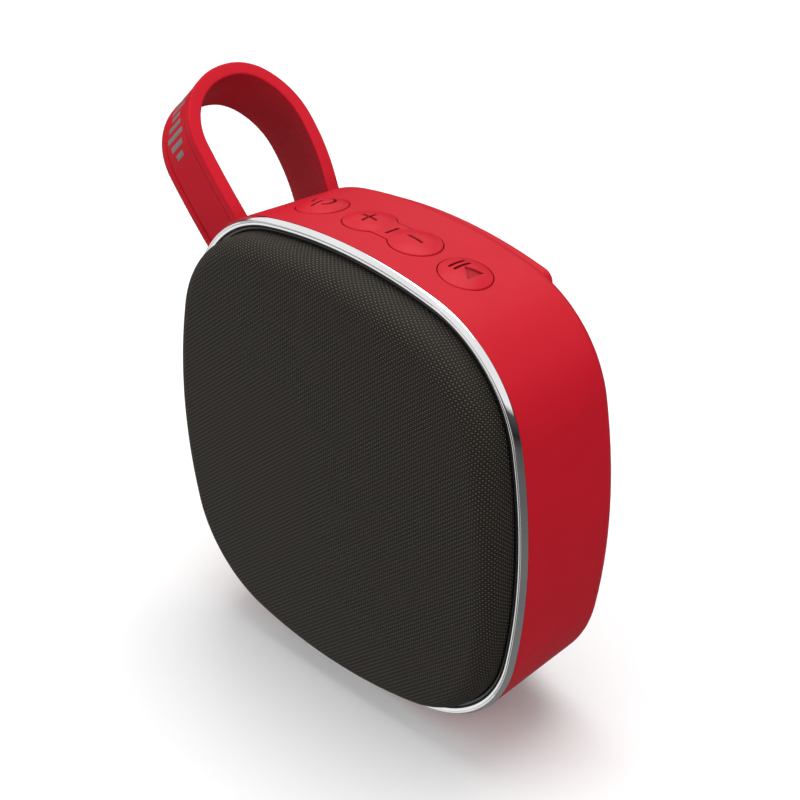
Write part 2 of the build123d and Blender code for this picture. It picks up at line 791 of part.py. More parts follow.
with BuildPart() as aux_jack:
    jack_x = socket_mouth + jack_size[0] / 2
    jack_depth = main_board_depths[0] - jack_size[1] / 2
    add(upright_block(*jack_size, jack_x, jack_depth, jack_z))
    mouth = (socket_mouth, front_y + jack_depth, middle_z + jack_z)
    with BuildSketch(Plane(mouth, x_dir=(0, 1, 0), z_dir=(1, 0, 0))):
        Circle(1.8)
    extrude(amount=9.5, mode=Mode.SUBTRACT)
save(aux_jack, "aux_jack")

board_middle_x = sum(main_board_x) / 2
board_middle_z = sum(main_board_z) / 2

with BuildPart() as main_board:
    with BuildSketch(layer(main_board_depths[1])):
        with Locations((board_middle_x, board_middle_z)):
            Rectangle(main_board_x[1] - main_board_x[0], main_board_z[1] - main_board_z[0])
        with Locations(*main_board_screw_places):
            Circle(1.1, mode=Mode.SUBTRACT)
    extrude(amount=main_board_depths[1] - main_board_depths[0])
save(main_board, "main_board")

with BuildPart() as main_board_screws:
    add(screw(layer(main_board_depths[0]), 1.5, 0.9, 0.8, 4.2, Locations(*main_board_screw_places)))
save(main_board_screws, "main_board_screws")

with BuildPart() as board_chips:
    # Radio module, amplifier and charger in front of the board, a coil and a capacitor behind it.
    add(upright_block(5.6, 1.0, 7.0, -29.9, main_board_depths[0] - 0.5, 3.0))
    add(upright_block(2.0, 0.9, 5.0, -28.1, main_board_depths[0] - 0.45, -10.0))
    add(upright_block(4.0, 0.8, 3.0, -35.4, main_board_depths[0] - 0.4, -16.6))
    add(upright_block(4.0, 2.2, 4.0, -34.6, main_board_depths[1] + 1.1, 4.0))
    add(upright_block(5.5, 1.8, 3.0, -34.0, main_board_depths[1] + 0.9, -8.0))
save(board_chips, "board_chips")

# Battery ------------------------------------------------------------------------------------------

battery_size = (9.0, 16.4, 42.0)
battery_x = 32.0
battery_z = -3.5
battery_depth = 13.2

with BuildPart() as battery_cell:
    add(upright_block(*battery_size, battery_x, battery_depth, battery_z))
    fillet(battery_cell.edges().filter_by(Axis.Z), 2.0)
save(battery_cell, "battery_cell")

pad_front = battery_depth + battery_size[1] / 2
with BuildPart() as battery_pad:
    pad_middle = (cavity_depth + pad_front) / 2
    add(upright_block(6.5, cavity_depth - pad_front, 34.0, battery_x - 0.6, pad_middle, battery_z))
save(battery_pad, "battery_pad")

# Rear panel and foot --------------------------------------------------------------------------------

screw_sink = 1.5
with BuildPart() as rear_panel:
    add(back_panel_block(0, shell_depth + back_panel_rise, shell_depth - back_panel_sunk))
    fillet(rear_panel.edges().filter_by(Axis.Y), 2.5)
    fillet(rear_panel.faces().sort_by(Axis.Y)[-1].edges(), 0.9)
    with BuildSketch(layer(shell_depth + back_panel_rise)):
        with Locations(*rear_screw_places):
            Circle(2.3)
    extrude(amount=screw_sink, mode=Mode.SUBTRACT)
    with BuildSketch(layer(shell_depth + back_panel_rise)):
        with Locations(*rear_screw_places):
            Circle(screw_radius + 0.1)
    extrude(amount=6, mode=Mode.SUBTRACT)
save(rear_panel, "rear_panel")

rear_face = Plane(
    (0, front_y + shell_depth + back_panel_rise - screw_sink, middle_z), x_dir=(-1, 0, 0), z_dir=(0, 1, 0)
)
with BuildPart() as rear_panel_screws:
    add(screw(rear_face, 1.9, 1.1, screw_radius, 6.0, Locations(*rear_screw_places)))
save(rear_panel_screws, "rear_panel_screws")

with BuildPart() as base_foot:
    add(foot_prism(0, 8))
    add(foot_core, mode=Mode.SUBTRACT)
save(base_foot, "base_foot")


# Wiring inside the housing ------------------------------------------------------------------------


def routed_wire(points, bends, radius):
    """A wire along straight runs joined by arcs; points are X, depth, and Z from the middle."""
    places = [Vector(x, front_y + depth, middle_z + z) for x, depth, z in points]
    with BuildPart(mode=Mode.PRIVATE) as wire:
        with BuildLine() as route:
            FilletPolyline(*places, radius=bends)
        with BuildSketch(Plane(route.line @ 0, z_dir=route.line % 0)):
            Circle(radius)
        sweep()
    return wire.part


wire_radius = 0.5

with BuildPart() as driver_leads:
    for low in (-13.5, -15.1):
        route = [(-17.9, 8.6, low), (-22.6, 9.4, low - 0.6), (-27.6, 12.6, low), (-28.0, 16.9, low)]
        add(routed_wire(route, 2.2, wire_radius))
save(driver_leads, "driver_leads")

with BuildPart() as battery_leads:
    for depth in (19.6, 20.9):
        corners = [(26.7, -19.5), (22.0, -24.5), (-18.0, -25.5), (-25.0, -19.0), (-26.6, -9.0)]
        add(routed_wire([(x, depth, z) for x, z in corners], 4.0, wire_radius))
save(battery_leads, "battery_leads")

with BuildPart() as key_cable:
    # Flat ribbon from the key board down to the main board.
    with BuildSketch(layer(22.2)):
        with BuildLine():
            FilletPolyline((-20.4, 32.9), (-20.4, 27.0), (-27.6, 20.5), (-27.6, 10.0), radius=3.0)
        trace(line_width=0.5)
    extrude(amount=3.8)
save(key_cable, "key_cable")
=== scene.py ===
"""Looks of a palm-size portable speaker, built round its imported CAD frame. Metres, +Z up, front to -Y."""

import json
import math

import bmesh
import bpy
import numpy as np
from mathutils import Matrix, Vector

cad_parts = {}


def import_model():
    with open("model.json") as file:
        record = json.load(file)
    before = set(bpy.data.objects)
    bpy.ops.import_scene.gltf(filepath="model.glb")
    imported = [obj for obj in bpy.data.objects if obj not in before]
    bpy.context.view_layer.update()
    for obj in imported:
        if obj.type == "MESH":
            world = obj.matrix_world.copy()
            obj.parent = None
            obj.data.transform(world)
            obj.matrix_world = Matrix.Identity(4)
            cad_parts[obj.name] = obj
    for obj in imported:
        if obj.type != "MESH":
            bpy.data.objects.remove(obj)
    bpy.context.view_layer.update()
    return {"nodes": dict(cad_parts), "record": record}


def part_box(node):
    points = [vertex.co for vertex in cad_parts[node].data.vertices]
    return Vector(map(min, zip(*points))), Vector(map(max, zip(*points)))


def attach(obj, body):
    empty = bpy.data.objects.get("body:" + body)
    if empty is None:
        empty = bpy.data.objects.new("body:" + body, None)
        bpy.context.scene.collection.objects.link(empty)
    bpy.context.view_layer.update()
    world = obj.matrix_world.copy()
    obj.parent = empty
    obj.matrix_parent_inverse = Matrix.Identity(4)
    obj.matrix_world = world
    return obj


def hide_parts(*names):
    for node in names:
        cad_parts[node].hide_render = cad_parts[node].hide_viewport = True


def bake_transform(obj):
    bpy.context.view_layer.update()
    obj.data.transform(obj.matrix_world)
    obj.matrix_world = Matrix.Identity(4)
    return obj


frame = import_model()
nodes = frame["nodes"]
MM = 0.001

# Dimensions ------------------------------------------------------------------------------------

shell_low, shell_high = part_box("main_housing")
HALF_WIDTH = shell_high.x
HALF_HEIGHT = (shell_high.z - shell_low.z) / 2
MIDDLE_Z = (shell_high.z + shell_low.z) / 2
FRONT_Y = shell_low.y
SIDE_X, SIDE_Z = 37.4 * MM, 38.5 * MM  # where the long arcs would meet if the corners were sharp
CORNER_R = 26.4 * MM
DRAFT = math.radians(4.3)


def arc_radius(half_chord, rise):
    return (half_chord**2 + rise**2) / (2 * rise)


TOP_R = arc_radius(SIDE_X, HALF_HEIGHT - SIDE_Z)
SIDE_R = arc_radius(SIDE_Z, HALF_WIDTH - SIDE_X)
TOP_C = np.array([0.0, HALF_HEIGHT - TOP_R])
SIDE_C = np.array([HALF_WIDTH - SIDE_R, 0.0])


def corner_centre():
    """Centre of the corner arc, inside both long arcs by its own radius."""
    ra, rb = TOP_R - CORNER_R, SIDE_R - CORNER_R
    gap = np.linalg.norm(SIDE_C - TOP_C)
    ahead = (SIDE_C - TOP_C) / gap
    along = (ra**2 - rb**2 + gap**2) / (2 * gap)
    aside = math.sqrt(ra**2 - along**2)
    sideways = np.array([ahead[1], -ahead[0]]) * aside
    centre = TOP_C + ahead * along + sideways
    return centre if centre[0] > 0 and centre[1] > 0 else TOP_C + ahead * along - sideways


CORNER_C = corner_centre()
TURN_TOP = math.atan2(CORNER_C[0] - TOP_C[0], CORNER_C[1] - TOP_C[1])
TURN_SIDE = math.atan2(CORNER_C[0] - SIDE_C[0], CORNER_C[1] - SIDE_C[1])


def outline_turns(count):
    """Directions of the outline's outward normal, from +Z towards +X, evenly spaced along it."""
    turns = np.linspace(0, 2 * math.pi, 7201)
    folded = np.abs((turns + math.pi / 2) % math.pi - math.pi / 2)
    radius = np.where(folded < TURN_TOP, TOP_R, np.where(folded < TURN_SIDE, CORNER_R, SIDE_R))
    length = np.concatenate([[0], np.cumsum((radius[1:] + radius[:-1]) / 2 * np.diff(turns))])
    return np.interp(np.arange(count) / count * length[-1], length, turns)


def outline_points(turns, inset):
    """X and Z from the middle of the rounded outline moved inwards by inset."""
    side = np.stack([np.sin(turns), np.cos(turns)], -1)
    sign = np.where(side < 0, -1.0, 1.0)
    folded = np.abs((turns + math.pi / 2) % math.pi - math.pi / 2)
    centre = np.where(
        (folded < TURN_TOP)[:, None],
        TOP_C,
        np.where((folded < TURN_SIDE)[:, None], CORNER_C, SIDE_C),
    )
    radius = np.where(folded < TURN_TOP, TOP_R, np.where(folded < TURN_SIDE, CORNER_R, SIDE_R))
    return centre * sign + (radius - inset)[:, None] * side


# Mesh helpers ----------------------------------------------------------------------------------


def make_object(name, points, faces, sharp=40.0):
    mesh = bpy.data.meshes.new(name)
    mesh.from_pydata([tuple(p) for p in points], [], faces)
    work = bmesh.new()
    work.from_mesh(mesh)
    bmesh.ops.recalc_face_normals(work, faces=work.faces)
    work.to_mesh(mesh)
    work.free()
    mesh.shade_smooth()
    mesh.set_sharp_from_angle(angle=math.radians(sharp))
    obj = bpy.data.objects.new(name, mesh)
    bpy.context.scene.collection.objects.link(obj)
    return obj


def grid_faces(rows, columns, wrap_rows=False, wrap_columns=False, first=0):
    """Quads over a grid of rows x columns points."""
    faces = []
    for r in range(rows if wrap_rows else rows - 1):
        here, below = first + r * columns, first + (r + 1) % rows * columns
        for c in range(columns if wrap_columns else columns - 1):
            right = (c + 1) % columns
            faces.append((here + c, here + right, below + right, below + c))
    return faces


def set_attribute(obj, name, values):
    """A vector attribute on the points, which a material reads."""
    layer = obj.data.attributes.new(name, "FLOAT_VECTOR", "POINT")
    layer.data.foreach_set("vector", np.asarray(values, np.float32).ravel())


def hoop(name, profile, count):
    """A closed section, in (inset, rise ahead of the housing's edge) in mm, swept round the outline."""
    turns = outline_turns(count)
    rows = []
    for inset, rise in profile:
        flat = outline_points(turns, inset * MM)
        rows.append(np.stack([flat[:, 0], np.full(count, FRONT_Y - rise * MM), MIDDLE_Z + flat[:, 1]], -1))
    points = np.concatenate(rows)
    return make_object(name, points, grid_faces(len(profile), count, True, True))


def round_corner(centre, radius, start, stop, steps):
    """Points of a small arc in a section, angles in degrees."""
    return [
        (centre[0] + radius * math.cos(math.radians(a)), centre[1] + radius * math.sin(math.radians(a)))
        for a in np.linspace(start, stop, steps)
    ]


# Materials -------------------------------------------------------------------------------------


class Nodes:
    """A small wrapper for building one node tree."""

    def __init__(self, tree):
        self.tree = tree

    def node(self, kind, inputs=None, **settings):
        made = self.tree.nodes.new(kind)
        for key, value in settings.items():
            setattr(made, key, value)
        for key, value in (inputs or {}).items():
            self.put(made.inputs[key], value)
        return made

    def put(self, socket, value):
        if isinstance(value, bpy.types.NodeSocket):
            self.tree.links.new(value, socket)
        else:
            socket.default_value = value

    def math(self, operation, a, b=0.0, c=0.0):
        made = self.node("ShaderNodeMath", operation=operation)
        for socket, value in zip(made.inputs, (a, b, c)):
            self.put(socket, value)
        return made.outputs[0]

    def mix(self, factor, a, b, blend_type="MIX"):
        made = self.node("ShaderNodeMix", data_type="RGBA", blend_type=blend_type)
        self.put(made.inputs["Factor"], factor)
        for key, value in (("A", a), ("B", b)):
            socket = [s for s in made.inputs if s.name == key and s.type == "RGBA"][0]
            self.put(socket, (*value, 1.0) if isinstance(value, tuple) else value)
        return [s for s in made.outputs if s.type == "RGBA"][0]

    def span(self, value, low, high, start=0.0, stop=1.0):
        """The value carried from start..stop to low..high."""
        limits = {"From Min": start, "From Max": stop, "To Min": low, "To Max": high}
        return self.node("ShaderNodeMapRange", {"Value": value, **limits}).outputs["Result"]


class Graph(Nodes):
    """The nodes of one material."""

    def __init__(self, name):
        self.material = bpy.data.materials.new(name)
        self.material.use_nodes = True
        super().__init__(self.material.node_tree)
        self.shader = self.tree.nodes["Principled BSDF"]

    def noise(self, size_mm, detail=2.0, stretch=(1, 1, 1)):
        """Noise with features of about size_mm, in the object's own space."""
        place = self.node("ShaderNodeTexCoord").outputs["Object"]
        scale = tuple(1000 / size_mm * s for s in stretch)
        scaled = self.node("ShaderNodeVectorMath", {0: place, 1: scale}, operation="MULTIPLY")
        made = self.node("ShaderNodeTexNoise", {"Scale": 1.0, "Detail": detail})
        self.put(made.inputs["Vector"], scaled.outputs[0])
        return made.outputs["Fac"]

    def attribute(self, name):
        vector = self.node("ShaderNodeAttribute", attribute_name=name).outputs["Vector"]
        return self.node("ShaderNodeSeparateXYZ", {0: vector}).outputs

    def bump(self, height, distance_mm, normal=None):
        made = self.node("ShaderNodeBump", {"Height": height, "Distance": distance_mm * MM})
        if normal is not None:
            self.put(made.inputs["Normal"], normal)
        return made.outputs["Normal"]


def shaded(colour, factor):
    return tuple(min(1.0, c * factor) for c in colour)


def surface(name, colour, roughness, metallic=0.0, specular=0.5, grain=0.3, bump=0.006, patch=9.0,
            drift=0.06, spread=0.05, edge=0.0, coat=0.0, sheen=0.0, stretch=(1, 1, 1)):
    """Principled material whose colour drifts over patches, with fine grain in its roughness and bump."""
    g = Graph(name)
    broad, fine = g.noise(patch, 3.0), g.noise(grain, 2.0, stretch)
    darker, lighter = shaded(colour, 1 - drift / 2), shaded(colour, 1 + drift / 2)
    speckle = g.mix(g.span(fine, 0, 1, 0.3, 0.7), darker, lighter)
    tone = g.mix(g.span(broad, 0, 0.5, 0.35, 0.65), speckle, shaded(colour, 1 - drift))
    g.put(g.shader.inputs["Base Color"], tone)
    blend = g.math("ADD", g.math("MULTIPLY", broad, 0.5), g.math("MULTIPLY", fine, 0.5))
    g.put(g.shader.inputs["Roughness"], g.span(blend, roughness - spread, roughness + spread, 0.3, 0.7))
    normal = None
    if edge:
        normal = g.node("ShaderNodeBevel", {"Radius": edge * MM}, samples=4).outputs[0]
    g.put(g.shader.inputs["Normal"], g.bump(fine, bump, normal))
    g.shader.inputs["Metallic"].default_value = metallic
    g.shader.inputs["Specular IOR Level"].default_value = specular
    g.shader.inputs["Coat Weight"].default_value = coat
    g.shader.inputs["Coat Roughness"].default_value = 0.08
    g.shader.inputs["Sheen Weight"].default_value = sheen
    return g


RED = (0.52, 0.0105, 0.0225)
RED_SPECULAR = 0.12
SHELL = {"specular": RED_SPECULAR, "grain": 0.22, "bump": 0.005}
THREAD_MM = (0.52, 0.44)  # pitch across and up
DOT_PITCH = 0.62


def key_material():
    """The shell's plastic, with painted shade darkening the engraved marks."""
    g = surface("red_key", RED, 0.40, **SHELL)
    plain = g.shader.inputs["Base Color"].links[0].from_socket
    mark = g.attribute("mark")[1]
    # painted shade: the engraved marks are painted near black in place of the shade in their grooves
    g.put(g.shader.inputs["Base Color"], g.mix(mark, plain, (0.06, 0.002, 0.004)))
    return g.material


def weave_material():
    """Plain weave of crossing threads, the level ones standing higher and painted lighter as a painted
    highlight, with painted shade in the low places between threads.
    """
    g = Graph("grille_cloth")
    u, v, _ = g.attribute("cloth")
    wobble = g.math("MULTIPLY", g.math("SUBTRACT", g.noise(3.0, 2.0), 0.5), 0.22)
    u, v = g.math("ADD", u, wobble), g.math("ADD", v, wobble)
    su, sv = (g.math("SINE", g.math("MULTIPLY", c, math.pi)) for c in (u, v))
    au, av = g.math("ABSOLUTE", su), g.math("ABSOLUTE", sv)
    over = g.span(g.math("MULTIPLY", su, sv), 0, 1, -0.06, 0.06)
    level = g.math("MULTIPLY", g.math("POWER", av, 0.8), g.math("POWER", au, 0.45))
    upright = g.math("MULTIPLY", g.math("POWER", au, 0.8), g.math("POWER", av, 0.45))
    under = g.math("SUBTRACT", 1.0, over)
    height = g.math("ADD", g.math("MULTIPLY", level, over), g.math("MULTIPLY", upright, under))
    fibre = g.noise(0.09)
    # painted highlight: where the level thread lies on top it is painted lighter
    thread = g.mix(over, (0.028, 0.0238, 0.0192), (0.093, 0.081, 0.067))
    # painted shade: the low places between the threads are painted near black
    lit = g.mix(g.span(height, 0, 1, 0.35, 0.95), (0.007, 0.006, 0.0048), thread)
    drift = g.noise(7.0, 3.0)
    tone = g.mix(g.span(drift, 0, 0.35, 0.35, 0.7), lit, (0.026, 0.022, 0.0178))
    g.put(g.shader.inputs["Base Color"], tone)
    g.put(g.shader.inputs["Roughness"], g.span(fibre, 0.62, 0.86))
    rough = g.math("ADD", height, g.math("MULTIPLY", fibre, 0.25))
    g.put(g.shader.inputs["Normal"], g.bump(rough, 0.08))
    g.shader.inputs["Specular IOR Level"].default_value = 0.15
    return g.material


def strap_material():
    """Satin silicone, with a fine dotted grip texture and painted shade on the strap's inner face."""
    g = surface("red_silicone", RED, 0.5, specular=0.06, grain=0.3, bump=0.006, patch=12.0)
    along, across, inner = g.attribute("strap")
    waves = [g.math("SINE", g.math("MULTIPLY", c, 2 * math.pi / DOT_PITCH)) for c in (along, across)]
    dots = g.math("MULTIPLY", g.span(g.math("MULTIPLY", waves[0], waves[1]), 0, 1, 0.1, 0.6), inner)
    plain = g.shader.inputs["Base Color"].links[0].from_socket
    # painted shade: the strap's inner face is painted darker
    inner_face_shade = g.mix(g.math("MULTIPLY", inner, 0.5), plain, (0.20, 0.006, 0.012))
    g.put(g.shader.inputs["Base Color"], g.mix(g.math("MULTIPLY", dots, 0.55), inner_face_shade, (0.30, 0.03, 0.04)))
    old = g.shader.inputs["Normal"].links[0].from_socket
    g.put(g.shader.inputs["Normal"], g.bump(dots, 0.05, old))
    return g.material


def chrome_material():
    g = Graph("chrome")
    smear = g.noise(14.0, 3.0)
    tone = g.mix(g.span(smear, 0, 1, 0.35, 0.65), (0.80, 0.80, 0.81), (0.88, 0.88, 0.89))
    g.put(g.shader.inputs["Base Color"], tone)
    g.put(g.shader.inputs["Roughness"], g.span(smear, 0.025, 0.05, 0.3, 0.7))
    g.shader.inputs["Metallic"].default_value = 1.0
    return g.material


def winding_material():
    """Copper wire wound in turns along the coil."""
    g = surface("copper_wire", (0.55, 0.24, 0.10), 0.3, metallic=1.0)
    place = g.node("ShaderNodeTexCoord").outputs["Object"]
    depth = g.node("ShaderNodeSeparateXYZ", {0: place}).outputs["Y"]
    turns = g.math("ABSOLUTE", g.math("SINE", g.math("MULTIPLY", depth, math.pi / (0.2 * MM))))
    g.put(g.shader.inputs["Normal"], g.bump(turns, 0.05))
    return g.material


def spider_material():
    """Resin-dipped cloth."""
    g = surface("spider_cloth", (0.45, 0.30, 0.12), 0.75, sheen=0.2)
    place = g.node("ShaderNodeTexCoord").outputs["Object"]
    x, _, z = g.node("ShaderNodeSeparateXYZ", {0: place}).outputs
    waves = [g.math("SINE", g.math("MULTIPLY", c, 2 * math.pi / (0.5 * MM))) for c in (x, z)]
    g.put(g.shader.inputs["Normal"], g.bump(g.math("MULTIPLY", *waves), 0.04))
    return g.material


PLAIN = {
    # slot: colour, roughness, and what differs from the defaults of surface()
    "red_shell": (RED, 0.42, {"edge": 0.22, **SHELL}),
    "black_gloss": ((0.007, 0.007, 0.008), 0.16, {"grain": 0.8, "bump": 0.002}),
    "black_plastic": ((0.02, 0.02, 0.021), 0.55, {"bump": 0.01}),
    "dark_steel": ((0.018, 0.018, 0.019), 0.5, {"metallic": 0.6, "grain": 0.15, "bump": 0.012}),
    "dark_rubber": (
        (0.022, 0.022, 0.023), 0.8, {"specular": 0.3, "grain": 0.25, "bump": 0.02, "drift": 0.25},
    ),
    "screw_steel": ((0.34, 0.34, 0.35), 0.32, {"metallic": 1.0, "grain": 0.2, "spread": 0.1}),
    "zinc_steel": (
        (0.55, 0.55, 0.56), 0.35, {"metallic": 1.0, "grain": 0.4, "stretch": (1, 8, 1), "spread": 0.12},
    ),
    "ferrite": ((0.03, 0.03, 0.031), 0.6, {"metallic": 0.3, "grain": 0.35, "bump": 0.02, "drift": 0.2}),
    "black_paper": ((0.018, 0.018, 0.017), 0.85, {"grain": 0.5, "bump": 0.03, "stretch": (1, 3, 1)}),
    "foam": ((0.03, 0.03, 0.03), 0.92, {"grain": 0.45, "bump": 0.08, "drift": 0.3}),
    "battery_wrap": (
        (0.45, 0.45, 0.47), 0.38, {"metallic": 0.8, "grain": 1.5, "bump": 0.03, "spread": 0.1},
    ),
    "circuit_board": (
        (0.01, 0.12, 0.04), 0.35, {"grain": 0.6, "bump": 0.01, "drift": 0.25, "coat": 0.3},
    ),
    "wire_sleeve": ((0.02, 0.02, 0.021), 0.45, {"grain": 0.4, "bump": 0.008}),
}
SLOTS = {
    "red_key": key_material(),
    "red_silicone": strap_material(),
    "chrome": chrome_material(),
    "grille_cloth": weave_material(),
    "copper_wire": winding_material(),
    "spider_cloth": spider_material(),
}
for slot, (colour, roughness, extra) in PLAIN.items():
    SLOTS[slot] = surface(slot, colour, roughness, **extra).material

for part in frame["record"]["subparts"]:
    for place in nodes[part["node"]].material_slots:
        place.material = SLOTS[part["material_slot"]]


def finish_piece(obj, slot, body=None, replaced=()):
    obj.data.materials.append(SLOTS[slot])
    if body:
        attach(obj, body)
    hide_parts(*replaced)
    return obj


# Front bezel and lip ---------------------------------------------------------------------------

RING_COUNT = 560
bezel_profile = [
    (0.14, -0.02), (0.06, 0.02), (0.02, 0.08), (0.02, 0.20), (0.05, 0.32),  # seam edge
    (0.16, 0.52), (0.34, 0.80), (0.50, 1.02), (0.58, 1.11), (0.66, 1.15), (0.73, 1.13),  # outer bevel
    (0.77, 1.06),
    (0.80, 0.98), (0.84, 0.94), (0.88, 0.98),  # groove
    (0.91, 1.07), (0.96, 1.15), (1.06, 1.21), (1.20, 1.24), (1.36, 1.24), (1.52, 1.20),  # inner rim
    (1.64, 1.12), (1.72, 0.98), (1.76, 0.80),
    (1.76, 0.2), (1.76, -0.35), (1.20, -0.35), (1.16, -0.02),
]
front_bezel = hoop("front_bezel", bezel_profile, RING_COUNT)
finish_piece(front_bezel, "chrome", "housing", ["chrome_bezel"])

lip_profile = [
    (1.81, -0.4), (1.81, 0.60),
    *round_corner((2.03, 0.74), 0.22, 180, 100, 5), *round_corner((2.29, 0.74), 0.22, 80, 0, 5),
    (2.51, 0.30), (2.53, -0.4),
]
grille_lip = hoop("grille_lip", lip_profile, RING_COUNT)
finish_piece(grille_lip, "black_gloss", "housing", ["grille_trim"])

# Grille cloth ----------------------------------------------------------------------------------

CLOTH_INSET, CLOTH_RISE, CLOTH_EDGE, CLOTH_THICK = 2.56, 8.9, 4.0, 0.5
CROWN_R, CROWN_LIFT = 546.0, 15.0  # the crown is highest above the middle


def cloth_layer(turns, sink):
    """Rows of points (mm) from the rim to near the middle, and their thread coordinates."""
    inset, edge = CLOTH_INSET + sink, CLOTH_EDGE - sink
    side = np.stack([np.sin(turns), np.cos(turns)], -1)

    def crown(flat):
        return CLOTH_RISE - sink - ((flat - (0.0, CROWN_LIFT)) ** 2).sum(-1) / (2 * CROWN_R)

    rows, threads = [], []
    inner = outline_points(turns, (inset + edge) * MM) / MM
    top = crown(inner)
    arc = edge * math.pi / 2
    for share in np.linspace(0, 1, 6)[:-1]:
        flat = outline_points(turns, inset * MM) / MM
        rise = 0.02 + (top - edge - 0.02) * share
        rows.append((flat, rise))
        threads.append(inner + side * (arc + top - edge - rise)[:, None])
    for angle in np.linspace(0, math.pi / 2, 15):
        flat = outline_points(turns, (inset + edge - edge * math.cos(angle)) * MM) / MM
        rows.append((flat, top - edge + edge * math.sin(angle)))
        threads.append(inner + side * (arc - edge * angle))
    for share in np.linspace(1, 0, 36)[1:-1]:
        rows.append((inner * share, crown(inner * share)))
        threads.append(inner * share)
    points = [np.stack([f[:, 0] * MM, FRONT_Y - r * MM, MIDDLE_Z + f[:, 1] * MM], -1) for f, r in rows]
    return points, threads


def grille_cloth():
    count = 480
    turns = outline_turns(count)
    points, threads, faces = [], [], []
    starts = []
    for sink in (0.0, CLOTH_THICK):
        rows, marks = cloth_layer(turns, sink)
        first = len(points)
        starts.append(first)
        points.extend(np.concatenate(rows))
        threads.extend(np.concatenate(marks))
        faces += grid_faces(len(rows), count, False, True, first)
        middle = len(points)
        points.append((0.0, FRONT_Y - (CLOTH_RISE - sink - CROWN_LIFT**2 / (2 * CROWN_R)) * MM, MIDDLE_Z))
        threads.append((0.0, 0.0))
        last = first + (len(rows) - 1) * count
        faces += [(last + c, last + (c + 1) % count, middle) for c in range(count)]
    for c in range(count):
        right = (c + 1) % count
        faces.append((starts[0] + c, starts[0] + right, starts[1] + right, starts[1] + c))
    obj = make_object("grille_cloth", points, faces)
    coordinates = np.array(threads) / np.array(THREAD_MM)
    set_attribute(obj, "cloth", np.column_stack([coordinates, np.zeros(len(coordinates))]))
    return obj


cloth = finish_piece(grille_cloth(), "grille_cloth", "housing", ["grille_fabric"])

# Wrist strap -----------------------------------------------------------------------------------

LEAN = math.radians(47.0)
STRAP_ORIGIN = Vector((-35.1 * MM, FRONT_Y, MIDDLE_Z + 35.4 * MM))
STRAP_UP = Vector((-math.sin(LEAN), 0, math.cos(LEAN)))
STRAP_ACROSS = Vector((math.cos(LEAN), 0, math.sin(LEAN)))
STRAP_BACK = Vector((0, 1, 0))
STRAP_START, STRAP_LEGS = (1.35, -7.5), (7.0, 9.0)  # mm: the root, and both straight legs
STRAP_BENDS = ((1.9, 14.5), (17.4, 26.3), (22.8, 23.0), (26.1, 13.1), (24.0, 1.0))  # ends of the arcs
BAR_LENGTHS = (2.6, 4.6, 6.2, 5.0, 3.4, 5.6, 6.4, 4.2, 2.8, 4.8, 6.0, 3.8, 2.4, 5.2, 6.2, 4.4)
BAR_START, BAR_PITCH, BAR_SHIFT = 23.4, 1.86, -0.2  # along the strap from its root, and across it
BAR_HALF, BAR_FLAT, BAR_EDGE = 0.5, 0.42, 0.035  # half width, where it is level, drop of its edge
BAR_FOOT, BAR_TOP = 1.05, 1.225  # above the centre-line


def strap_path(step=0.42):
    """Centre-line as (depth, height) points in mm with unit tangents: a leg, tangent arcs, a leg."""
    place, heading = np.array(STRAP_START), np.array([0.0, 1.0])
    points, tangents = [], []

    def straight(length):
        nonlocal place
        for s in np.arange(0, length - 1e-6, step):
            points.append(place + heading * s)
            tangents.append(heading)
        place = place + heading * length

    def arc(end):
        nonlocal place, heading
        chord = np.array(end) - place
        left = np.array([-heading[1], heading[0]])
        radius = chord @ chord / (2 * chord @ left)
        centre = place + left * radius
        sweep = 2 * math.atan2(chord @ left, chord @ heading)
        count = max(2, round(abs(radius * sweep) / step))
        for k in range(count):
            turn = sweep * k / count
            spin = np.array([[math.cos(turn), -math.sin(turn)], [math.sin(turn), math.cos(turn)]])
            points.append(centre + spin @ (place - centre))
            tangents.append(spin @ heading)
        spin = np.array([[math.cos(sweep), -math.sin(sweep)], [math.sin(sweep), math.cos(sweep)]])
        place, heading = np.array(end), spin @ heading

    straight(STRAP_LEGS[0])
    for end in STRAP_BENDS:
        arc(end)
    straight(STRAP_LEGS[1])
    points.append(place)
    tangents.append(heading)
    return np.array(points), np.array(tangents)


def strap_section():
    """Half of the section in (across, outward) mm: rounded edges, a rim, a groove and a sunk panel."""
    outer, inner, half, corner = 1.3, -1.3, 6.3, 0.32
    right = [
        (0.0, 1.16), (1.4, 1.16), (2.8, 1.16), (3.9, 1.16), (4.28, 1.15),
        (4.36, 1.08), (4.42, 0.98), (4.52, 0.98), (4.58, 1.10),
        (4.64, outer - 0.04), (4.74, outer), (5.2, outer),
    ]
    right += round_corner((half - corner, outer - corner), corner, 90, 0, 6)
    right += [(half, 0.4), (half, -0.4)]
    right += round_corner((half - corner, inner + corner), corner, 0, -90, 6)
    right += [(4.4, inner), (2.6, inner), (1.2, inner), (0.0, inner)]
    left = [(-x, y) for x, y in reversed(right[1:-1])]
    return np.array(right + left)


def strap_place(points, tangents, across, outward):
    """World position of a point across the strap and outward from its centre-line."""
    normals = np.stack([-tangents[:, 1], tangents[:, 0]], -1)
    flat = points + normals * outward
    origin, back, up, side = (np.array(v) for v in (STRAP_ORIGIN, STRAP_BACK, STRAP_UP, STRAP_ACROSS))
    return origin + (flat[:, :1] * back + flat[:, 1:] * up + across * side) * MM


